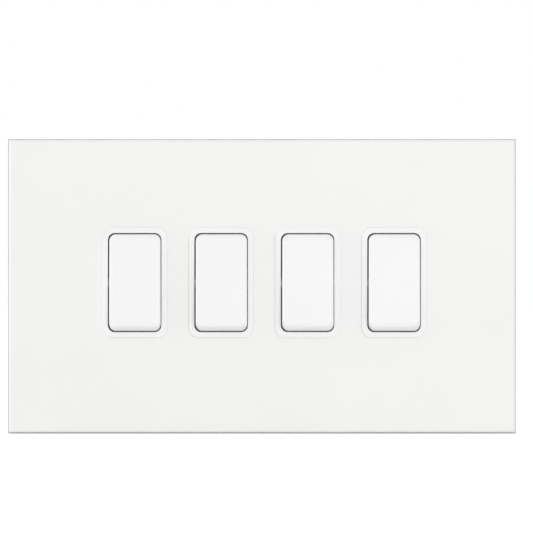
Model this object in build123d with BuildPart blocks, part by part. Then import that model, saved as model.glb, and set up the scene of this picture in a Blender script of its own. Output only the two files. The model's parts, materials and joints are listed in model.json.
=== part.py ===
from build123d import *
import math
import os

# Four-gang rocker light switch with a flat cover plate that clips on and shows no screws.
# X runs across the plate, +Z is up and the front faces -Y. Sizes are in millimetres, angles in degrees.
# The origin is on the wall plane, midway between the two slots for the box screws.
# "Out" is a height from the wall towards the room, so a negative one lies inside the wall box.

# Row of switches: the row sits a little right of and above the middle of the plate
gang_count = 4
gang_pitch = 25.53
row_right = 0.7
row_up = 1.1

# Cover plate: coated steel sheet
cover_width = 150.0
cover_height = 87.0
plate_out = 5.0
plate_thickness = 1.6
plate_edge_radius = 0.9

# Clip frame: moulded frame bonded to the back of the plate, its rim showing round the plate
rim_reveal = 0.25
rim_wall = 1.6
web_thickness = 1.0
screw_room = 6.2
flange_room = 2.4
lug_spacing_x = 96.0
lug_spacing_z = 58.0
lug_width = 9.0
lug_thickness = 1.5
lug_hook = 0.9
lug_hook_length = 1.8

# Mounting frame: pressed sheet steel with its long edges folded forward
frame_side_gap = 4.4
frame_end_gap = 3.9
frame_corner_chamfer = 3.0
sheet_thickness = 1.2
lip_out = 2.1
bend_radius = 0.8

# Slots for the two box screws
screw_spacing = 120.6
slot_width = 4.0
slot_length = 7.0

# Bezel: front half of one switch housing
collar_width = 19.1
collar_height = 32.5
collar_out = 5.6
collar_radius = 2.8
opening_width = 15.74
opening_height = 29.24
opening_radius = 2.0
lip_height = 0.4
lip_relief = 0.35
lip_relief_height = 1.8
flange_width = 23.8
flange_height = 40.0
flange_thickness = 1.4
housing_width = 21.0
housing_height = 36.0
housing_chamfer = 1.0
skirt_depth = 2.0
catch_width = 7.0
catch_depth = 0.9
catch_length = 1.8

# Rocker: hollow moulding that rocks on two trunnions
pivot_out = 3.0
rocker_tilt = 6.0
rocker_reach = 14.51
rocker_rise = 5.5
rocker_foot = 2.0
side_gap = 0.28
side_play = 0.08
side_draft = 1.0
rocker_corner_radius = 1.7
rocker_edge = 0.6
rocker_wall = 1.6
trunnion_radius = 1.4
trunnion_length = 1.1
sleeve_wall = 1.0
sleeve_foot = 5.6

# Plunger and spring inside the rocker
plunger_width = 3.5
plunger_top = 2.6
plunger_shoulder = 6.6
plunger_reach = 9.0
nose_radius = 1.0
spigot_width = 1.6
spigot_height = 0.8
spring_radius = 1.35
spring_wire = 0.45
spring_turns = 4
spring_facets = 6

# See-saw contact lever
lever_out = -7.0
lever_tilt = 8.0
lever_length = 19.6
lever_width = 5.0
lever_thickness = 0.9
lever_end_chamfer = 1.2
rib_radius = 0.8
contact_spacing = 16.6
contact_size = 3.0
contact_thickness = 0.6
contact_gap = 0.04

# Base: back half of one switch housing
base_back = -16.5
cavity_width = 16.6
cavity_height = 22.0
core_depth = 4.0
core_margin = 2.2
tongue_width = 8.0
tongue_thickness = 1.0
tongue_rise = 2.6

# Brass terminals
strip_thickness = 0.8
strip_width = 4.4
block_width = 6.4
block_length = 6.4
block_offset = 5.0
wire_radius = 1.75
wire_out = -12.9
clamp_hole_radius = 1.5
saddle_width = 4.0
saddle_lip = 0.4

# Earth terminal welded to the back of the mounting frame, below the gap between the two middle switches
earth_inset = 10.0
earth_size = 7.0
earth_depth = 7.6
earth_wire_out = -3.6

# Clearances
trim_clearance = 0.06
frame_clearance = 0.2
seat_clearance = 0.05
snap_clearance = 0.1
running_clearance = 0.05
slide_clearance = 0.08

# Heights and sizes that follow from the ones above
plate_back = plate_out - plate_thickness
web_window_width = screw_spacing + 2 * screw_room
web_window_height = flange_height + 2 * (row_up + flange_room)
frame_width = cover_width - 2 * (rim_wall + frame_side_gap)
frame_height = cover_height - 2 * (rim_wall + frame_end_gap)
earth_place = (row_right, earth_inset - frame_height / 2)
skirt_out = -skirt_depth
contact_swing = (contact_spacing + contact_size) / 2 * math.sin(math.radians(lever_tilt))
lever_contact_out = lever_out - contact_swing - contact_thickness * math.cos(math.radians(lever_tilt))
strip_front = lever_contact_out - contact_gap - contact_thickness
floor_out = strip_front - strip_thickness
lip_u = collar_out - pivot_out
ceiling_u = rocker_rise - rocker_wall
sleeve_bore = plunger_width + 2 * slide_clearance
gang_places = [
    Location((row_right + (gang - (gang_count - 1) / 2) * gang_pitch, 0, row_up)) for gang in range(gang_count)
]
gang_centres = [(place.position.X, place.position.Z) for place in gang_places]
block_mid = housing_height / 2 - block_length / 2
common_place = (block_offset, block_mid)
first_way_place = (0, -block_mid)
second_way_place = (-block_offset, block_mid)
terminal_places = [common_place, first_way_place, second_way_place]
block_back = base_back + seat_clearance


def facing(out):
    """The plane parallel to the wall at a height, its normal towards the room."""
    return Plane.XZ.offset(out)


def section_of(face):
    """The upright section plane of a datum: local x runs out along its normal and local y runs up."""
    return Plane(origin=face.origin, x_dir=face.z_dir, z_dir=-face.x_dir)


def along(direction, distance):
    """The plane square to the Z axis at a distance from the gang's centre, its normal away from it."""
    return Plane(origin=(0, 0, direction * distance), x_dir=(1, 0, 0), z_dir=(0, 0, direction))


# Datums of the moving pieces of one switch, in the off position, with the gang's centre at the origin
rocker_rest = facing(pivot_out).move(Pos(side_play, 0, 0)).rotated((-rocker_tilt, 0, 0))
lever_rest = facing(lever_out).rotated((lever_tilt, 0, 0))

# Cover plate
with BuildPart() as cover_plate:
    with BuildSketch(facing(plate_back)):
        Rectangle(cover_width - 2 * rim_reveal, cover_height - 2 * rim_reveal)
    extrude(amount=plate_thickness)
    fillet(cover_plate.faces().sort_by(Axis.Y)[0].edges(), plate_edge_radius)
    with BuildSketch(facing(plate_back)):
        with Locations(*gang_centres):
            RectangleRounded(
                collar_width + 2 * trim_clearance, collar_height + 2 * trim_clearance, collar_radius + trim_clearance
            )
    extrude(amount=plate_thickness, mode=Mode.SUBTRACT)

# Clip frame: rim on the wall, web under the plate and four lugs that hook behind the mounting frame
lug_places = [(x * lug_spacing_x / 2, z * lug_spacing_z / 2) for x in (-1, 1) for z in (-1, 1)]
with BuildPart() as clip_frame:
    with BuildSketch(facing(0)):
        Rectangle(cover_width, cover_height)
        Rectangle(cover_width - 2 * rim_wall, cover_height - 2 * rim_wall, mode=Mode.SUBTRACT)
    extrude(amount=plate_back)
    with BuildSketch(facing(plate_back)):
        Rectangle(cover_width - rim_wall, cover_height - rim_wall)
        Rectangle(web_window_width, web_window_height, mode=Mode.SUBTRACT)
    extrude(amount=-web_thickness)
    for x, z in lug_places:
        side = math.copysign(1, z)
        with BuildSketch(Plane.YZ.offset(x)):
            with BuildLine():
                Polyline(
                    (web_thickness - plate_back, z),
                    (snap_clearance, z),
                    (snap_clearance, z + side * lug_hook),
                    (snap_clearance + lug_hook_length, z),
                    (snap_clearance + lug_hook_length, z - side * lug_thickness),
                    (web_thickness - plate_back, z - side * lug_thickness),
                    close=True,
                )
            make_face()
        extrude(amount=lug_width / 2, both=True)

# Mounting frame
lug_slot_width = lug_width + 2 * frame_clearance
lug_slot_height = lug_thickness + lug_hook + 2 * frame_clearance
with BuildPart() as mounting_frame:
    with BuildSketch(facing(0)) as sheet:
        Rectangle(frame_width, frame_height)
        chamfer(sheet.vertices(), frame_corner_chamfer)
    extrude(amount=sheet_thickness)
    with BuildSketch(facing(0)):
        with GridLocations(0, frame_height - sheet_thickness, 1, 2):
            Rectangle(frame_width - 4 * frame_corner_chamfer, sheet_thickness)
    extrude(amount=lip_out)
    fillet(mounting_frame.edges().filter_by(Axis.X).group_by(Axis.Y)[-1], bend_radius)
    with BuildSketch(facing(0)):
        with Locations(*gang_centres):
            Rectangle(housing_width + 2 * frame_clearance, housing_height + 2 * frame_clearance)
        with GridLocations(screw_spacing, 0, 2, 1):
            SlotOverall(slot_length, slot_width)
        for x, z in lug_places:
            with Locations((x, z + math.copysign(frame_clearance, z) - math.copysign(lug_slot_height / 2, z))):
                Rectangle(lug_slot_width, lug_slot_height)
    extrude(amount=sheet_thickness, mode=Mode.SUBTRACT)

# Earth terminal: brass block with a wire bore and a screw hole
with BuildPart() as earth_terminal:
    with BuildSketch(facing(0)):
        with Locations(earth_place):
            Rectangle(earth_size, earth_size)
    extrude(amount=-earth_depth)
    with BuildSketch(along(-1, -earth_place[1] - earth_size / 2)):
        with Locations((earth_place[0], earth_wire_out)):
            Circle(wire_radius)
    extrude(amount=earth_size, mode=Mode.SUBTRACT)
    with BuildSketch(facing(-earth_depth)):
        with Locations(earth_place):
            Circle(clamp_hole_radius)
    extrude(amount=earth_depth + earth_wire_out, mode=Mode.SUBTRACT)

# Bezel: collar, flange on the mounting frame, skirt through it and catches behind it
bearing_reach = opening_width / 2 + trunnion_length + side_play + running_clearance
bearing_radius = trunnion_radius + running_clearance
opening_end = opening_height / 2
with BuildPart() as bezel:
    with BuildSketch(facing(sheet_thickness)):
        RectangleRounded(collar_width, collar_height, collar_radius)
    extrude(amount=collar_out - sheet_thickness)
    with BuildSketch(facing(sheet_thickness)):
        Rectangle(flange_width, flange_height)
    extrude(amount=flange_thickness)
    with BuildSketch(facing(skirt_out)) as skirt:
        Rectangle(housing_width, housing_height)
        chamfer(skirt.vertices(), housing_chamfer)
    extrude(amount=skirt_depth + sheet_thickness)
    for end in (-1, 1):
        with BuildSketch(Plane.YZ):
            with BuildLine():
                Polyline(
                    (snap_clearance, end * housing_height / 2),
                    (snap_clearance, end * (housing_height / 2 + catch_depth)),
                    (catch_length, end * housing_height / 2),
                    close=True,
                )
            make_face()
        extrude(amount=catch_width / 2, both=True)
    with BuildSketch(facing(collar_out)):
        RectangleRounded(opening_width, opening_height, opening_radius)
    extrude(amount=-(collar_out + skirt_depth), mode=Mode.SUBTRACT)
    for end in (-1, 1):
        with BuildSketch(Plane.YZ):
            with BuildLine():
                Polyline(
                    (lip_height - collar_out, end * opening_end),
                    (lip_height + lip_relief_height - collar_out, end * (opening_end + lip_relief)),
                    (skirt_depth, end * (opening_end + lip_relief)),
                    (skirt_depth, end * opening_end),
                    close=True,
                )
            make_face()
        extrude(amount=opening_width / 2 - opening_radius, both=True, mode=Mode.SUBTRACT)
    with BuildSketch(Plane.YZ):
        with Locations((-pivot_out, 0)):
            Circle(bearing_radius)
        with Locations(((skirt_depth - pivot_out) / 2, 0)):
            Rectangle(skirt_depth + pivot_out, 2 * bearing_radius)
    extrude(amount=bearing_reach, both=True, mode=Mode.SUBTRACT)
    with BuildSketch(facing(skirt_out)):
        with GridLocations(housing_width, 0, 2, 1):
            Rectangle(2 * (tongue_thickness + snap_clearance), tongue_width + 2 * snap_clearance)
    extrude(amount=tongue_rise + snap_clearance, mode=Mode.SUBTRACT)

# Rocker: drafted shell whose ends follow a circle about the pivot, with trunnions and a plunger sleeve
rocker_levels = [(-rocker_foot, 0), (lip_u, 0), (rocker_rise - rocker_edge, 0), (rocker_rise, rocker_edge)]
pocket_end = math.sqrt(rocker_reach**2 - ceiling_u**2) - rocker_wall
pocket_width = opening_width - 2 * (side_gap + rocker_wall)
with BuildPart() as rocker:
    for level, inset in rocker_levels:
        draft = 2 * (lip_u - level) * math.tan(math.radians(side_draft))
        width = opening_width - 2 * side_gap + draft - 2 * inset
        height = 2 * (math.sqrt(rocker_reach**2 - level**2) - inset)
        with BuildSketch(rocker_rest.offset(level)):
            RectangleRounded(width, height, rocker_corner_radius)
    loft(ruled=True)
    with BuildSketch(section_of(rocker_rest)):
        Circle(trunnion_radius)
    extrude(amount=opening_width / 2 + trunnion_length, both=True)
    with BuildSketch(rocker_rest.offset(-rocker_foot)):
        Rectangle(pocket_width, 2 * pocket_end)
    extrude(amount=rocker_foot + ceiling_u, mode=Mode.SUBTRACT)
    with BuildSketch(rocker_rest.offset(-sleeve_foot)):
        Rectangle(sleeve_bore + 2 * sleeve_wall, sleeve_bore + 2 * sleeve_wall)
        Rectangle(sleeve_bore, sleeve_bore, mode=Mode.SUBTRACT)
    extrude(amount=sleeve_foot + ceiling_u)

# Plunger: square bar with a half-round nose and a spigot for the spring
nose_centre = plunger_reach - nose_radius
with BuildPart() as plunger:
    with BuildSketch(section_of(rocker_rest)):
        with BuildLine():
            Polyline(
                (-nose_centre, nose_radius),
                (-plunger_shoulder, plunger_width / 2),
                (-plunger_top, plunger_width / 2),
                (-plunger_top, -plunger_width / 2),
                (-plunger_shoulder, -plunger_width / 2),
                (-nose_centre, -nose_radius),
            )
            ThreePointArc((-nose_centre, -nose_radius), (-plunger_reach, 0), (-nose_centre, nose_radius))
        make_face()
    extrude(amount=plunger_width / 2, both=True)
    with BuildSketch(rocker_rest.offset(-plunger_top)):
        Rectangle(spigot_width, spigot_width)
    extrude(amount=spigot_height)

# Plunger spring: coil of wire between the plunger and the roof of the rocker
coil_start = -plunger_top + spring_wire / 2 + seat_clearance
coil_height = plunger_top + ceiling_u - spring_wire - 2 * seat_clearance
coil_steps = spring_turns * spring_facets
coil_points = []
for step in range(coil_steps + 1):
    turn = 2 * math.pi * step / spring_facets
    across = spring_radius * math.cos(turn)
    up = spring_radius * math.sin(turn)
    coil_points.append(rocker_rest.from_local_coords((across, up, coil_start + coil_height * step / coil_steps)))
with BuildPart() as spring:
    with BuildLine() as coil:
        Polyline(*coil_points)
    with BuildSketch(Plane(origin=coil.line @ 0, z_dir=coil.line % 0)):
        RegularPolygon(spring_wire / 2, 4)
    sweep(path=coil.line, transition=Transition.RIGHT)

# Contact lever: brass strip with a half-round rib that it rocks on
with BuildPart() as lever:
    with BuildSketch(section_of(lever_rest)):
        with Locations((lever_thickness / 2, 0)):
            Rectangle(lever_thickness, lever_length)
        Circle(rib_radius)
    extrude(amount=lever_width / 2, both=True)
    chamfer(lever.edges().filter_by(Axis(lever_rest.origin, lever_rest.z_dir)), lever_end_chamfer)

# Silver contacts of the lever
with BuildPart() as lever_contacts:
    with BuildSketch(lever_rest):
        with GridLocations(0, contact_spacing, 1, 2):
            Rectangle(contact_size, contact_size)
    extrude(amount=-contact_thickness)

# Fixed silver contacts
with BuildPart() as fixed_contacts:
    with BuildSketch(facing(strip_front)):
        with GridLocations(0, contact_spacing, 1, 2):
            Rectangle(contact_size, contact_size)
    extrude(amount=contact_thickness)


def terminal_block(place):
    """A brass block with its wire bore and its screw hole."""
    across, up = place
    end = math.copysign(1, up)
    with BuildPart() as block:
        with BuildSketch(facing(block_back)):
            with Locations(place):
                Rectangle(block_width, block_length)
        extrude(amount=strip_front - block_back)
        with BuildSketch(along(end, abs(up) + block_length / 2)):
            with Locations((across, -end * wire_out)):
                Circle(wire_radius)
        extrude(amount=-block_length, mode=Mode.SUBTRACT)
        with BuildSketch(facing(block_back)):
            with Locations(place):
                Circle(clamp_hole_radius)
        extrude(amount=wire_out - block_back, mode=Mode.SUBTRACT)
    return block.part


def way_terminal(place):
    """A switched terminal: a brass block with a strip that carries the fixed contact."""
    across, up = place
    end = math.copysign(1, up)
    inner = contact_spacing / 2 - strip_width / 2
    with BuildPart() as terminal:
        with BuildSketch(facing(floor_out)):
            with Locations((across, end * (inner + abs(up)) / 2)):
                Rectangle(strip_width, abs(up) - inner)
            with Locations((across / 2, end * contact_spacing / 2)):
                Rectangle(strip_width + abs(across), strip_width)
        extrude(amount=strip_thickness)
        add(terminal_block(place))
    return terminal.part


first_way_terminal = way_terminal(first_way_place)
second_way_terminal = way_terminal(second_way_place)

# Common terminal: a strip along one side and a saddle whose square groove carries the lever's rib
saddle_right = block_offset + strip_width / 2
saddle_front = lever_out - saddle_lip
groove_depth = math.sqrt(2) * (rib_radius + running_clearance)
with BuildPart() as common_terminal:
    with BuildSketch(facing(floor_out)):
        with Locations((block_offset, (block_mid - saddle_width / 2) / 2)):
            Rectangle(strip_width, block_mid + saddle_width / 2)
        with Locations((saddle_right / 2 - lever_width / 4, 0)):
            Rectangle(saddle_right + lever_width / 2, saddle_width)
    extrude(amount=strip_thickness)
    with BuildSketch(facing(strip_front)):
        Rectangle(lever_width, saddle_width)
    extrude(amount=saddle_front - strip_front)
    with BuildSketch(Plane.YZ):
        with BuildLine():
            Polyline(
                (groove_depth - lever_out, 0),
                (-saddle_front, groove_depth - saddle_lip),
                (-saddle_front, saddle_lip - groove_depth),
                close=True,
            )
        make_face()
    extrude(amount=lever_width, both=True, mode=Mode.SUBTRACT)
    add(terminal_block(common_place))

# Base: open box with the contact cavity in front, terminal pockets at its ends and a cored back
nest_width = block_width + 2 * seat_clearance
nest_length = block_length + seat_clearance
keeper_out = pivot_out - trunnion_radius - snap_clearance
keeper_thickness = trunnion_length - running_clearance
with BuildPart() as base:
    with BuildSketch(facing(skirt_out)) as outline:
        Rectangle(housing_width, housing_height)
        chamfer(outline.vertices(), housing_chamfer)
    extrude(amount=base_back - skirt_out)
    with BuildSketch(facing(skirt_out)):
        with GridLocations(housing_width - tongue_thickness, 0, 2, 1):
            Rectangle(tongue_thickness, tongue_width)
    extrude(amount=tongue_rise)
    with BuildSketch(facing(skirt_out)):
        with GridLocations(opening_width + trunnion_length, 0, 2, 1):
            Rectangle(keeper_thickness, 2 * trunnion_radius)
    extrude(amount=keeper_out - skirt_out)
    with BuildSketch(facing(skirt_out)):
        Rectangle(cavity_width, cavity_height)
    extrude(amount=floor_out - skirt_out, mode=Mode.SUBTRACT)
    for across, up in terminal_places:
        end = math.copysign(1, up)
        with BuildSketch(facing(base_back)):
            with Locations((across, end * (housing_height - nest_length) / 2)):
                Rectangle(nest_width, nest_length)
        extrude(amount=strip_front + seat_clearance - base_back, mode=Mode.SUBTRACT)
        with BuildSketch(facing(floor_out)):
            with Locations((across, end * (cavity_height / 2 + block_mid) / 2)):
                Rectangle(strip_width + 2 * seat_clearance, block_mid - cavity_height / 2)
        extrude(amount=strip_thickness + seat_clearance, mode=Mode.SUBTRACT)
    with BuildSketch(facing(base_back)):
        Rectangle(housing_width - 2 * core_margin, 2 * (block_mid - block_length / 2 - core_margin))
    extrude(amount=core_depth, mode=Mode.SUBTRACT)

# Writing the pieces: single ones where they are, the pieces of a switch once for each gang
os.makedirs("parts", exist_ok=True)
single_pieces = {
    "cover_plate": cover_plate.part,
    "clip_frame": clip_frame.part,
    "mounting_frame": mounting_frame.part,
    "earth_terminal": earth_terminal.part,
}
gang_pieces = {
    "rocker": rocker.part,
    "bezel": bezel.part,
    "base": base.part,
    "plunger": plunger.part,
    "plunger_spring": spring.part,
    "contact_lever": lever.part,
    "lever_contacts": lever_contacts.part,
    "fixed_contacts": fixed_contacts.part,
    "common_terminal": common_terminal.part,
    "first_way_terminal": first_way_terminal,
    "second_way_terminal": second_way_terminal,
}
for name, piece in single_pieces.items():
    piece.label = name
    export_step(piece, f"parts/{name}.step")
for gang, place in enumerate(gang_places, start=1):
    for name, piece in gang_pieces.items():
        placed = piece.moved(place)
        placed.label = f"{name}_{gang}"
        export_step(placed, f"parts/{placed.label}.step")
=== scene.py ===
import bmesh
import bpy
import json
import math
from mathutils import Matrix, Vector


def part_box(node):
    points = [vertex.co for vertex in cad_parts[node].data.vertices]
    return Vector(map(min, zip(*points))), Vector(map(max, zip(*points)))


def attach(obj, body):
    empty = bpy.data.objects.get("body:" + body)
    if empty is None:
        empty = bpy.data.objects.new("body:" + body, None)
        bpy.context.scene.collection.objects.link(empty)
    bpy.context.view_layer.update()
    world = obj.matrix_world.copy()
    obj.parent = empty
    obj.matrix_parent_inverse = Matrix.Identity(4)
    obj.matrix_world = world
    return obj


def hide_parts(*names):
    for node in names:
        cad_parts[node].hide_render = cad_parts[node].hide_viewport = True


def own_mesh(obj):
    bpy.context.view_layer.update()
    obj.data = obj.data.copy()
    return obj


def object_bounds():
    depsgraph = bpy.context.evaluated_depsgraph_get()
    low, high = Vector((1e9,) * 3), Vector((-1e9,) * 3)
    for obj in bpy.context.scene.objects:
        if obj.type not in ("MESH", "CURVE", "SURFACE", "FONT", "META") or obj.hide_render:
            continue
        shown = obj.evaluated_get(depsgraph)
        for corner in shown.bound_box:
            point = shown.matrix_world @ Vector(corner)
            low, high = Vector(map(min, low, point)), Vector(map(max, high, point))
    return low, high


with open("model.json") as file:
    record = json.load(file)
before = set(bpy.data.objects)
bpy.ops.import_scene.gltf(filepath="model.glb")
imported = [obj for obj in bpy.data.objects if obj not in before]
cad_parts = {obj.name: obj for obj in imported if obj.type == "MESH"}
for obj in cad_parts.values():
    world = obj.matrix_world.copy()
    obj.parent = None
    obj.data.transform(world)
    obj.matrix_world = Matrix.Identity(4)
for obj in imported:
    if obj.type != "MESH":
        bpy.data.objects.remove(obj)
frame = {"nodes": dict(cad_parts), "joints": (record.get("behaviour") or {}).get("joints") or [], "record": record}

cad_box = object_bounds()

# Mounting frame
# One blank of zinc-plated steel sheet, pressed with four windows, two screw slots and four lug slots, and
# folded forward along both long edges. It screws to the wall box and carries everything else.
mm = 0.001
scene = bpy.context.scene
sheet_edge = 0.12 * mm


def set_down(form, name):
    """Makes a smooth-shaded object of a finished form."""
    for edge in form.edges:
        edge.smooth = True
    for face in form.faces:
        face.smooth = True
    mesh = bpy.data.meshes.new(name)
    form.to_mesh(mesh)
    form.free()
    if "custom_normal" in mesh.attributes:
        mesh.attributes.remove(mesh.attributes["custom_normal"])
    piece = bpy.data.objects.new(name, mesh)
    scene.collection.objects.link(piece)
    return piece


def round_edges(piece, radius, steps=2, sharper_than=35):
    """Rounds the sharp edges of a piece and keeps its flat faces flat in the light."""
    rounding = piece.modifiers.new("rounded_edges", "BEVEL")
    rounding.width = radius
    rounding.segments = steps
    rounding.limit_method = "ANGLE"
    rounding.angle_limit = math.radians(sharper_than)
    piece.modifiers.new("even_shading", "WEIGHTED_NORMAL").keep_sharp = True


def softened(node, name, body, finish, edge_radius, steps=2):
    """A copy of a solid with its sharp edges rounded, which stands for that solid."""
    form = bmesh.new()
    form.from_mesh(frame["nodes"][node].data)
    bmesh.ops.remove_doubles(form, verts=form.verts, dist=0.001 * mm)
    bmesh.ops.dissolve_limit(form, angle_limit=math.radians(1), verts=form.verts, edges=form.edges)
    piece = set_down(form, name)
    round_edges(piece, edge_radius, steps)
    piece.data.materials.append(finish)
    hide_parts(node)
    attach(piece, body)
    return piece


def surface(name, tones, patch, grain, relief, gloss, metallic=0.0, stretch=(1, 1, 1)):
    """A finish of two close tones in soft patches, with a fine grain in its gloss and its relief."""
    material = bpy.data.materials.new(name)
    material.use_nodes = True
    nodes = material.node_tree.nodes
    links = material.node_tree.links
    shader = nodes["Principled BSDF"]
    shader.inputs["Metallic"].default_value = metallic
    place = nodes.new("ShaderNodeTexCoord")
    patches = nodes.new("ShaderNodeTexNoise")
    patches.inputs["Scale"].default_value = 1 / patch
    patches.inputs["Detail"].default_value = 3
    links.new(place.outputs["Object"], patches.inputs["Vector"])
    tone = nodes.new("ShaderNodeValToRGB")
    spread = (0.3, 0.7)
    for element, position, colour in zip(tone.color_ramp.elements, spread, tones):
        element.position = position
        element.color = (*colour, 1)
    links.new(patches.outputs["Fac"], tone.inputs["Fac"])
    links.new(tone.outputs["Color"], shader.inputs["Base Color"])
    run = nodes.new("ShaderNodeMapping")
    run.inputs["Scale"].default_value = stretch
    links.new(place.outputs["Object"], run.inputs["Vector"])
    grains = nodes.new("ShaderNodeTexNoise")
    grains.inputs["Scale"].default_value = 1 / grain
    grains.inputs["Detail"].default_value = 4
    links.new(run.outputs["Vector"], grains.inputs["Vector"])
    polish = nodes.new("ShaderNodeMapRange")
    for socket, value in zip(("From Min", "From Max", "To Min", "To Max"), (*spread, *gloss)):
        polish.inputs[socket].default_value = value
    links.new(grains.outputs["Fac"], polish.inputs["Value"])
    links.new(polish.outputs["Result"], shader.inputs["Roughness"])
    bump = nodes.new("ShaderNodeBump")
    bump.inputs["Distance"].default_value = relief
    links.new(grains.outputs["Fac"], bump.inputs["Height"])
    links.new(bump.outputs["Normal"], shader.inputs["Normal"])
    return material


zinc_plating = surface(
    "zinc_plating", ((0.54, 0.56, 0.59), (0.66, 0.66, 0.66)),
    patch=7 * mm, grain=0.35 * mm, relief=0.006 * mm, gloss=(0.24, 0.46), metallic=1.0, stretch=(0.06, 1, 1),
)
softened("mounting_frame", "frame_pressing", "switch_body", zinc_plating, sheet_edge)

# Earth terminal
# A brass block resistance-welded to the back of the mounting frame, drilled for the earth wire and tapped
# for its screw.
block_edge = 0.18 * mm
bright_brass = surface(
    "bright_brass", ((0.64, 0.44, 0.17), (0.74, 0.53, 0.22)),
    patch=2.2 * mm, grain=0.07 * mm, relief=0.0012 * mm, gloss=(0.20, 0.34), metallic=1.0, stretch=(1, 1, 0.03),
)
softened("earth_terminal", "earth_block", "switch_body", bright_brass, block_edge)

# Bezels
# The front half of each switch housing, injection moulded in white plastic. The flange sits on the mounting
# frame, the catches snap behind it, and the collar comes up through the cover.
gangs = (1, 2, 3, 4)
bezel_edge = 0.16 * mm
satin_white = surface(
    "satin_white_moulding", ((0.895, 0.895, 0.895), (0.912, 0.912, 0.912)),
    patch=14 * mm, grain=0.22 * mm, relief=0.003 * mm, gloss=(0.30, 0.42),
)
for gang in gangs:
    softened(
        f"bezel_{gang}", f"bezel_moulding_{gang}", "switch_body", satin_white,
        bezel_edge, steps=3,
    )

# Bases
# The back half of each housing, compression moulded in a matt, heat-proof white resin. It snaps into the
# bezel's skirt with two tongues and holds the terminals in pockets.
base_edge = 0.17 * mm
matt_resin = surface(
    "matt_white_resin", ((0.755, 0.755, 0.74), (0.785, 0.785, 0.77)),
    patch=5 * mm, grain=0.25 * mm, relief=0.012 * mm, gloss=(0.48, 0.66),
)
for gang in gangs:
    softened(f"base_{gang}", f"base_moulding_{gang}", "switch_body", matt_resin, base_edge)

# Terminals and fixed contacts
# Brass strips stamped and folded in one with a drilled block, pushed into the base from behind. The fixed
# contacts are silver buttons riveted to the two switched strips.
contact_edge = 0.2 * mm
silver = surface(
    "contact_silver", ((0.74, 0.73, 0.70), (0.90, 0.89, 0.87)),
    patch=0.9 * mm, grain=0.15 * mm, relief=0.002 * mm, gloss=(0.16, 0.34), metallic=1.0,
)
for gang in gangs:
    for kind in ("common", "first_way", "second_way"):
        softened(
            f"{kind}_terminal_{gang}", f"{kind}_strip_{gang}", "switch_body", bright_brass,
            block_edge / 2,
        )
    softened(
        f"fixed_contacts_{gang}", f"fixed_buttons_{gang}", "switch_body", silver,
        contact_edge, steps=3,
    )

# Contact levers
# A see-saw of brass strip with a pressed rib that rocks in the groove of the common terminal, and a silver
# button at each end.
lever_edge = 0.1 * mm
for gang in gangs:
    body = f"lever_{gang}"
    softened(f"contact_lever_{gang}", f"lever_strip_{gang}", body, bright_brass, lever_edge)
    softened(
        f"lever_contacts_{gang}", f"lever_buttons_{gang}", body, silver, contact_edge, steps=3
    )

# Rockers
# Hollow mouldings in the same white plastic as the bezels, with a softly rounded face, a sleeve for the
# plunger inside and a trunnion on each side that turns in the bezel.
tilt = math.radians(6)
face_out = 5.5 * mm
edge_depth = 0.75 * mm
edge_end = 1.0 * mm
edge_side = 0.6 * mm
edge_steps = 8
foot_out = -2.0 * mm
foot_edge = 0.25 * mm
lip_out = 2.6 * mm
end_reach = 14.56 * mm
lip_width = 15.18 * mm
side_draft = math.tan(math.radians(1))
side_play = 0.08 * mm
bearing_play = 0.04 * mm
rocker_corner = 2.0 * mm
face_margin = 0.6 * mm
pocket = (11.98 * mm, 24.75 * mm)
pocket_corner = 0.4 * mm
roof_out = 3.9 * mm
sleeve = (5.66 * mm, 5.66 * mm)
sleeve_bore = (3.66 * mm, 3.66 * mm)
sleeve_foot = -5.6 * mm
sleeve_corner = 0.3 * mm
trunnion_radius = 1.4 * mm
trunnion_span = (6.6 * mm, 8.97 * mm)
trunnion_edge = 0.2 * mm
trunnion_sides = 40
crease = math.radians(40)


def outline(width, height, radius, corner_steps=12):
    """The points round a rectangle with rounded corners, as (across, up)."""
    points = []
    for right, up, start in ((1, 1, 0), (-1, 1, 90), (-1, -1, 180), (1, -1, 270)):
        for step in range(corner_steps + 1):
            turn = math.radians(start + 90 * step / corner_steps)
            across = right * (width / 2 - radius) + radius * math.cos(turn)
            points.append((across, up * (height / 2 - radius) + radius * math.sin(turn)))
    return points


def at_height(points, out):
    """The points of an outline as places at one height out from the wall."""
    return [Vector((across, -out, up)) for across, up in points]


def skin(form, rings, closed=True):
    """Puts faces between rings of points, and fills the first and the last ring of a closed skin."""
    loops = [[form.verts.new(point) for point in ring] for ring in rings]
    for near, far in zip(loops, loops[1:]):
        for corner in range(len(near)):
            form.faces.new((near[corner - 1], near[corner], far[corner], far[corner - 1]))
    if closed:
        form.faces.new(loops[0])
        form.faces.new(loops[-1])
        bmesh.ops.recalc_face_normals(form, faces=form.faces)
    return loops


def combined(piece, tool, operation):
    """Joins a tool's form to a piece or cuts it away, and takes the tool out of the scene."""
    change = piece.modifiers.new("change", "BOOLEAN")
    change.object = tool
    change.operation = operation
    change.solver = "EXACT"
    graph = bpy.context.evaluated_depsgraph_get()
    mesh = bpy.data.meshes.new_from_object(piece.evaluated_get(graph))
    piece.modifiers.remove(change)
    piece.data = mesh
    bpy.data.objects.remove(tool)


def rocker_ring(out, inset_side=0.0, inset_end=0.0):
    """The rocker's outline at a height over its pivot."""
    width = lip_width + 2 * (lip_out - out) * side_draft - 2 * inset_side
    height = 2 * (math.sqrt(end_reach**2 - out**2) - inset_end)
    return at_height(outline(width, height, rocker_corner), out)


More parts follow.
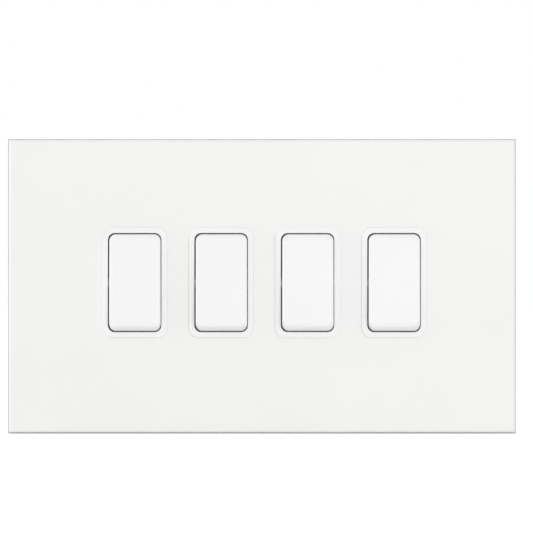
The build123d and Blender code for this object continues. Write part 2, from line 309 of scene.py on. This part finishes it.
rocker_rings = [rocker_ring(face_out, edge_side + face_margin, edge_end + face_margin)]
for step in range(edge_steps + 1):
    turn = math.radians(90 * (1 - step / edge_steps))
    fall = 1 - math.cos(turn)
    rocker_rings.append(
        rocker_ring(face_out - edge_depth * (1 - math.sin(turn)), edge_side * fall, edge_end * fall)
    )
rocker_rings += [
    rocker_ring(lip_out),
    rocker_ring(foot_out + foot_edge),
    rocker_ring(foot_out, foot_edge, foot_edge),
    at_height(outline(*pocket, pocket_corner), foot_out),
    at_height(outline(*pocket, pocket_corner), roof_out),
    at_height(outline(*sleeve, sleeve_corner), roof_out),
    at_height(outline(*sleeve, sleeve_corner), sleeve_foot),
    at_height(outline(*sleeve_bore, sleeve_corner), sleeve_foot),
    at_height(outline(*sleeve_bore, sleeve_corner), roof_out),
]
rocker_form = bmesh.new()
skin(rocker_form, rocker_rings)
rocker_pattern = set_down(rocker_form, "rocker_pattern")
for side in (-1, 1):
    trunnion = bmesh.new()
    inner, outer = trunnion_span
    rings = []
    for reach, radius in (
        (inner, trunnion_radius),
        (outer - trunnion_edge, trunnion_radius),
        (outer, trunnion_radius - trunnion_edge),
    ):
        turns = [2 * math.pi * step / trunnion_sides for step in range(trunnion_sides)]
        rings.append([Vector((side * reach, radius * math.cos(a), radius * math.sin(a))) for a in turns])
    skin(trunnion, rings)
    combined(rocker_pattern, set_down(trunnion, "trunnion"), "UNION")
rocker_mesh = rocker_pattern.data
bpy.data.objects.remove(rocker_pattern)
pivots = {}
for gang in gangs:
    hinge = next(joint for joint in frame["joints"] if joint["name"] == f"rocker_hinge_{gang}")
    rest = Vector(hinge["pos_m"]) + Vector((side_play, 0, -bearing_play))
    pivots[gang] = Matrix.Translation(rest) @ Matrix.Rotation(-tilt, 4, "X")
    rocker = bpy.data.objects.new(f"rocker_moulding_{gang}", rocker_mesh.copy())
    scene.collection.objects.link(rocker)
    rocker.data.transform(pivots[gang])
    rocker.data.set_sharp_from_angle(angle=crease)
    rocker.modifiers.new("even_shading", "WEIGHTED_NORMAL").keep_sharp = True
    rocker.data.materials.append(satin_white)
    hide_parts(f"rocker_{gang}")
    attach(rocker, f"rocker_{gang}")

# Plungers and their springs
# A square nylon bar with a round nose slides in the rocker's sleeve, pushed down on the lever by a coil of
# drawn steel wire with closed ends.
plunger_edge = 0.15 * mm
coil_radius = 1.35 * mm
wire_radius = 0.2 * mm
coil_span = (-2.3 * mm, 3.65 * mm)
coil_turns = 8
closed_turns = 1.0
turn_steps = 24
wire_sides = 10
nylon = surface(
    "natural_nylon", ((0.70, 0.69, 0.62), (0.78, 0.77, 0.71)),
    patch=1.5 * mm, grain=0.2 * mm, relief=0.004 * mm, gloss=(0.38, 0.52),
)
drawn_wire = surface(
    "drawn_wire", ((0.42, 0.43, 0.45), (0.58, 0.58, 0.59)),
    patch=0.8 * mm, grain=0.12 * mm, relief=0.002 * mm, gloss=(0.25, 0.40), metallic=1.0,
)


def coil_point(turn):
    """A point on the spring's centreline, with closed turns at both ends."""
    open_turns = coil_turns - 2 * closed_turns
    share = min(max((turn - closed_turns) / open_turns, 0), 1)
    closing = 2 * wire_radius * (min(turn, closed_turns) + max(turn - coil_turns + closed_turns, 0))
    length = coil_span[1] - coil_span[0] - 4 * wire_radius * closed_turns
    angle = 2 * math.pi * turn
    out = coil_span[0] + closing + length * share
    return Vector((coil_radius * math.cos(angle), -out, coil_radius * math.sin(angle)))


for gang in gangs:
    bar = f"plunger_{gang}"
    softened(bar, f"plunger_bar_{gang}", bar, nylon, plunger_edge)
    coil = bmesh.new()
    rings = []
    for step in range(coil_turns * turn_steps + 1):
        turn = step / turn_steps
        centre = coil_point(turn)
        outward = Vector((math.cos(2 * math.pi * turn), 0, math.sin(2 * math.pi * turn)))
        rings.append([
            pivots[gang] @ (centre + wire_radius * (outward * math.cos(a) + Vector((0, math.sin(a), 0))))
            for a in (2 * math.pi * side / wire_sides for side in range(wire_sides))
        ])
    skin(coil, rings)
    spring = set_down(coil, f"plunger_coil_{gang}")
    spring.data.materials.append(drawn_wire)
    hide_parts(f"plunger_spring_{gang}")
    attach(spring, f"rocker_{gang}")
    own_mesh(spring)

# Terminal screws
# Slotted steel screws with a rolled thread, zinc plated, one tapped into each block from behind. They stop
# just inside the back of the block.
thread_radius = 1.46 * mm
thread_pitch = 0.5 * mm
thread_depth = 0.24 * mm
screw_length = 3.6 * mm
screw_sink = 0.3 * mm
screw_slot = (0.55 * mm, 0.8 * mm)
tip_chamfer = 0.3 * mm
thread_flank = 1.6
rings_to_a_turn = 8
screw_sides = 36
first_turn = 20
next_turn = 37
screw_plating = surface(
    "screw_plating", ((0.52, 0.53, 0.55), (0.66, 0.66, 0.66)),
    patch=1.2 * mm, grain=0.2 * mm, relief=0.002 * mm, gloss=(0.24, 0.40), metallic=1.0,
)


def threaded_rings(radius, pitch, depth, start, end):
    """The rings of a screw thread along Y between two places."""
    rings = []
    steps = math.ceil((end - start) / pitch * rings_to_a_turn)
    for step in range(steps + 1):
        along = start + (end - start) * step / steps
        ring = []
        for side in range(screw_sides):
            wave = (along / pitch - side / screw_sides) % 1
            reach = radius - depth * min(1, thread_flank * abs(2 * wave - 1))
            angle = 2 * math.pi * side / screw_sides
            ring.append(Vector((reach * math.cos(angle), along, reach * math.sin(angle))))
        rings.append(ring)
    return rings


def circle(radius, along):
    """A ring round the Y axis."""
    turns = [2 * math.pi * side / screw_sides for side in range(screw_sides)]
    return [Vector((radius * math.cos(angle), along, radius * math.sin(angle))) for angle in turns]


def cut_slot(piece, width, depth, length, end):
    """Cuts a driver slot into the end of a screw that faces along Y."""
    form = bmesh.new()
    bmesh.ops.create_cube(form, size=1)
    bmesh.ops.scale(form, vec=(length, 2 * depth, width), verts=form.verts)
    bmesh.ops.translate(form, vec=(0, end, 0), verts=form.verts)
    combined(piece, set_down(form, "slot_cutter"), "DIFFERENCE")


screw_form = bmesh.new()
core = thread_radius - thread_depth
thread_start = tip_chamfer - screw_length
skin(
    screw_form,
    [circle(core - tip_chamfer, -screw_length), circle(core, thread_start)]
    + threaded_rings(thread_radius, thread_pitch, thread_depth, thread_start, -tip_chamfer)
    + [circle(core, -tip_chamfer / 2), circle(core - tip_chamfer / 2, 0)],
)
screw_pattern = set_down(screw_form, "screw_pattern")
cut_slot(screw_pattern, *screw_slot, length=4 * thread_radius, end=0)
screw_mesh = screw_pattern.data
bpy.data.objects.remove(screw_pattern)
screw_mesh.set_sharp_from_angle(angle=crease)
screw_mesh.materials.append(screw_plating)
screw_places = []
for gang in gangs:
    for kind in ("common", "first_way", "second_way"):
        mount = next(m for m in frame["record"]["mounts"] if m["name"] == f"{kind}_wire_{gang}")
        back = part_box(f"{kind}_terminal_{gang}")[1].y
        screw_places.append((f"{kind}_screw_{gang}", mount["pos_m"], back))
earth = next(m for m in frame["record"]["mounts"] if m["name"] == "earth_wire")
screw_places.append(("earth_screw", earth["pos_m"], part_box("earth_terminal")[1].y))
for number, (name, (x, _, z), back) in enumerate(screw_places):
    screw = bpy.data.objects.new(name, screw_mesh)
    scene.collection.objects.link(screw)
    screw.location = (x, back - screw_sink, z)
    screw.rotation_euler = (0, math.radians(next_turn * number + first_turn), 0)
    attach(screw, "switch_body")

# Box screws
# Two M3.5 pan-head steel screws, zinc plated, through the slots of the mounting frame into the lugs of the
# wall box. The cover hides them.
box_thread_radius = 1.72 * mm
box_thread_pitch = 0.6 * mm
box_thread_depth = 0.28 * mm
head_radius = 3.1 * mm
head_height = 1.75 * mm
head_rise = ((0.6, 0.0 * mm), (0.85, 0.22 * mm), (1.0, 0.88 * mm))
head_foot = (0.1 * mm, 0.05 * mm)
plain_shank = 1.0 * mm
head_slot = (0.9 * mm, 1.0 * mm)
box_screw_spacing = 120.6 * mm
sheet_front = -1.2 * mm
box_screw_tip = 15.8 * mm
box_screw_form = bmesh.new()
core = box_thread_radius - box_thread_depth
head_top = sheet_front - head_height
skin(
    box_screw_form,
    [circle(share * head_radius, head_top + drop) for share, drop in head_rise]
    + [
        circle(head_radius, sheet_front - head_foot[1]),
        circle(head_radius - head_foot[0], sheet_front),
        circle(core, sheet_front),
        circle(core, sheet_front + plain_shank),
    ]
    + threaded_rings(
        box_thread_radius, box_thread_pitch, box_thread_depth,
        sheet_front + plain_shank, box_screw_tip - 2 * tip_chamfer,
    )
    + [circle(core, box_screw_tip - tip_chamfer), circle(core - tip_chamfer, box_screw_tip)],
)
box_screw_pattern = set_down(box_screw_form, "box_screw_pattern")
cut_slot(box_screw_pattern, *head_slot, length=4 * head_radius, end=head_top)
box_screw_mesh = box_screw_pattern.data
bpy.data.objects.remove(box_screw_pattern)
box_screw_mesh.set_sharp_from_angle(angle=crease)
box_screw_mesh.materials.append(screw_plating)
for name, side, turn in (("left_box_screw", -1, 12), ("right_box_screw", 1, 64)):
    screw = bpy.data.objects.new(name, box_screw_mesh)
    scene.collection.objects.link(screw)
    screw.location = (side * box_screw_spacing / 2, 0, 0)
    screw.rotation_euler = (0, math.radians(turn), 0)
    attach(screw, "switch_body")

# Clip frame
# A grey moulding bonded behind the cover. Its rim sits on the wall and shows as a thin line round the cover,
# and four hooked lugs snap into the mounting frame.
clip_edge = 0.12 * mm
grey_moulding = surface(
    "grey_moulding", ((0.50, 0.50, 0.50), (0.56, 0.56, 0.555)),
    patch=6 * mm, grain=0.25 * mm, relief=0.006 * mm, gloss=(0.45, 0.60),
)
softened("clip_frame", "clip_moulding", "switch_body", grey_moulding, clip_edge)

# Cover plate
# A flat blank of sheet steel with four punched openings and rolled edges, powder coated in a warm matt white
# and bonded to the clip frame.
cover_low, cover_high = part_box("cover_plate")
cover_size = (cover_high.x - cover_low.x, cover_high.z - cover_low.z)
cover_front = -cover_low.y
cover_back = -cover_high.y
cover_corner = 0.5 * mm
edge_roll = 0.9 * mm
roll_steps = 8
opening = (19.12 * mm, 32.52 * mm)
opening_corner = 2.81 * mm
opening_roll = 0.02 * mm
opening_steps = 4
cover_crease = math.radians(50)
powder_coat = surface(
    "warm_white_powder_coat", ((0.880, 0.880, 0.862), (0.892, 0.892, 0.875)),
    patch=35 * mm, grain=0.9 * mm, relief=0.006 * mm, gloss=(0.34, 0.46),
)
cover_form = bmesh.new()
rings = [at_height(outline(*cover_size, cover_corner), cover_back)]
for step in range(roll_steps + 1):
    turn = math.radians(90 * step / roll_steps)
    inset = 2 * edge_roll * (1 - math.cos(turn))
    rings.append(at_height(
        outline(cover_size[0] - inset, cover_size[1] - inset, cover_corner),
        cover_front - edge_roll * (1 - math.sin(turn)),
    ))
outer = skin(cover_form, rings, closed=False)
back_loops = [outer[0]]
front_loops = [outer[-1]]
for gang in gangs:
    low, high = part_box(f"bezel_{gang}")
    centre = Vector(((low.x + high.x) / 2, 0, (low.z + high.z) / 2))
    rings = []
    for step in range(opening_steps + 1):
        turn = math.radians(90 * step / opening_steps)
        grown = 2 * opening_roll * (1 - math.sin(turn))
        rings.append(at_height(
            outline(opening[0] + grown, opening[1] + grown, opening_corner + grown / 2),
            cover_front - opening_roll * (1 - math.cos(turn)),
        ))
    rings.append(at_height(outline(*opening, opening_corner), cover_back))
    inner = skin(cover_form, [[centre + point for point in ring] for ring in rings], closed=False)
    front_loops.append(inner[0])
    back_loops.append(inner[-1])
for loops, normal in ((front_loops, (0, -1, 0)), (back_loops, (0, 1, 0))):
    border = []
    for loop in loops:
        border += [cover_form.edges.get((loop[corner - 1], loop[corner])) for corner in range(len(loop))]
    bmesh.ops.triangle_fill(cover_form, edges=border, use_beauty=True, normal=normal)
bmesh.ops.recalc_face_normals(cover_form, faces=cover_form.faces)
cover = set_down(cover_form, "cover_sheet")
cover.data.set_sharp_from_angle(angle=cover_crease)
cover.modifiers.new("even_shading", "WEIGHTED_NORMAL").keep_sharp = True
cover.data.materials.append(powder_coat)
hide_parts("cover_plate")
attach(cover, "switch_body")

# Floor
# A plain studio floor in pale matt paint, on which the plate stands. It shows white to the camera and keeps
# the plate's shadow.
floor_half = 6.0
floor_tone = (0.95, 0.95, 0.95)
floor_roughness = 0.9
floor_lift = 0.30
floor_form = bmesh.new()
bmesh.ops.create_grid(floor_form, x_segments=1, y_segments=1, size=floor_half)
bmesh.ops.translate(floor_form, vec=(0, 0, cad_box[0].z), verts=floor_form.verts)
floor = set_down(floor_form, "floor")
floor_paint = bpy.data.materials.new("pale_floor")
floor_paint.use_nodes = True
nodes = floor_paint.node_tree.nodes
links = floor_paint.node_tree.links
floor_shader = nodes["Principled BSDF"]
floor_shader.inputs["Base Color"].default_value = (*floor_tone, 1)
floor_shader.inputs["Roughness"].default_value = floor_roughness
floor_shader.inputs["Specular IOR Level"].default_value = 0.0
lift = nodes.new("ShaderNodeEmission")
lift.inputs["Strength"].default_value = floor_lift
lifted = nodes.new("ShaderNodeAddShader")
links.new(floor_shader.outputs["BSDF"], lifted.inputs[0])
links.new(lift.outputs["Emission"], lifted.inputs[1])


def white_to_sight(nodes, links, plain, white, output):
    """Shows the white shader to the camera and to reflections, and the plain one to all other light."""
    path = nodes.new("ShaderNodeLightPath")
    shown = plain
    for ray in ("Is Camera Ray", "Is Glossy Ray", "Is Transmission Ray"):
        choice = nodes.new("ShaderNodeMixShader")
        links.new(path.outputs[ray], choice.inputs["Fac"])
        links.new(shown, choice.inputs[1])
        links.new(white, choice.inputs[2])
        shown = choice.outputs["Shader"]
    links.new(shown, output.inputs["Surface"])


white_to_sight(nodes, links, floor_shader.outputs["BSDF"], lifted.outputs["Shader"], nodes["Material Output"])
floor.data.materials.append(floor_paint)

# Studio light
# An even pale room that shows white to the camera, a soft lamp in front a little to the right, and a second
# one that grazes the plate from the left.
room_light = 0.8
lamps = {
    "front_lamp": (Vector((0.5, -1.78, 0.25)), 0.4, 6.0),
    "left_lamp": (Vector((-2.0, -0.12, 0.16)), 0.25, 8.0),
}
for name, (place, size, power) in lamps.items():
    lamp_data = bpy.data.lights.new(name, "AREA")
    lamp_data.shape = "SQUARE"
    lamp_data.size = size
    lamp_data.energy = power
    lamp = bpy.data.objects.new(name, lamp_data)
    lamp.location = place
    lamp.rotation_euler = (-place).to_track_quat("-Z", "Y").to_euler()
    scene.collection.objects.link(lamp)
room = bpy.data.worlds.new("pale_room")
room.use_nodes = True
scene.world = room
nodes = room.node_tree.nodes
links = room.node_tree.links
fill = nodes["Background"]
fill.inputs["Color"].default_value = (1, 1, 1, 1)
fill.inputs["Strength"].default_value = room_light
white = nodes.new("ShaderNodeBackground")
white.inputs["Color"].default_value = (1, 1, 1, 1)
white.inputs["Strength"].default_value = 1.0
white_to_sight(nodes, links, fill.outputs["Background"], white.outputs["Background"], nodes["World Output"])
scene.view_settings.view_transform = "Standard"

# Camera
# A long lens square to the plate, a little right of and above its middle, as in the photograph. The plate
# fills the frame almost from side to side.
lens = 500.0
film = 36.0
view_width = 157.4 * mm
view_centre = (1.33 * mm, 5.85 * mm)
camera_data = bpy.data.cameras.new("camera")
camera_data.lens = lens
camera_data.sensor_width = film
camera = bpy.data.objects.new("camera", camera_data)
camera.location = (view_centre[0], -cover_front - view_width * lens / film, view_centre[1])
camera.rotation_euler = (math.radians(90), 0, 0)
scene.collection.objects.link(camera)
scene.camera = camera
